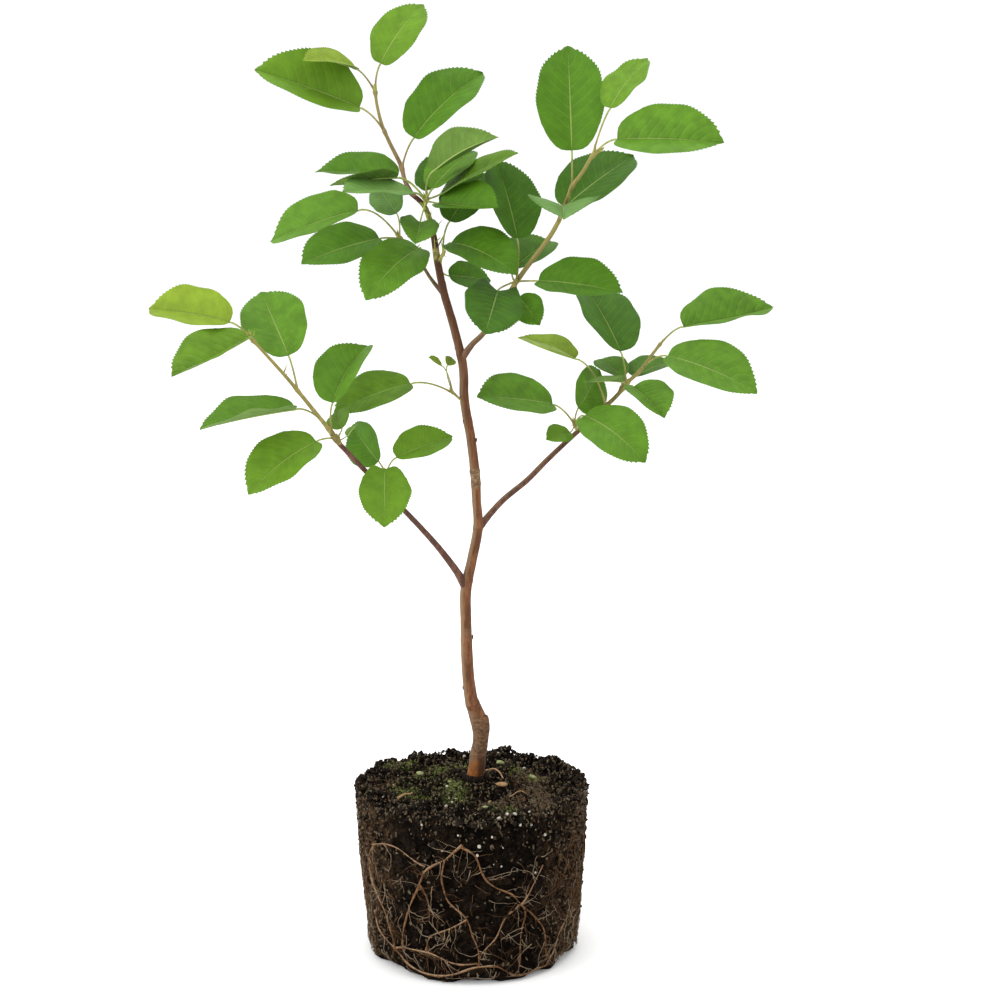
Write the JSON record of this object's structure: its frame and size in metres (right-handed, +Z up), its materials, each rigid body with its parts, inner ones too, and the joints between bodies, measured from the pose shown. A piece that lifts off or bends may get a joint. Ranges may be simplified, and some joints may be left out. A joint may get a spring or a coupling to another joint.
{
  "type": "serviceberry sapling on a root ball",
  "caption": "Young serviceberry sapling with broad green leaves on a slender leaning trunk, standing on its bare round ball of soil and roots.",
  "frame": {"origin": "centre of the root ball's flat underside, on the ground", "axes": "+Z up, -Y towards the side pictured as the front, +X to the right seen from there"},
  "size_m": [0.3251, 0.1964, 0.5045],
  "materials": {
    "soil": "dark moist peat, crumbly and matt",
    "roots": "tan fine roots, matt",
    "bark": "smooth thin brown bark, satin",
    "leaves": "living green leaves, semi-matt"
  },
  "bodies": {
    "root": {"root_ball": "soil", "front_roots": "roots", "back_roots": "roots", "trunk": "bark", "left_bough": "bark", "right_bough": "bark", "upper_right_bough": "bark", "top_shoot_leaves": "leaves", "heart_leaves": "leaves", "collar_leaves": "leaves", "side_shoot_leaves": "leaves", "upper_right_spur_leaves": "leaves", "upper_right_shoot_leaves": "leaves", "left_spur_leaves": "leaves", "left_shoot_leaves": "leaves", "right_spur_leaves": "leaves", "right_shoot_leaves": "leaves", "trunk_spur_leaves": "leaves"}
  },
  "joints": []
}
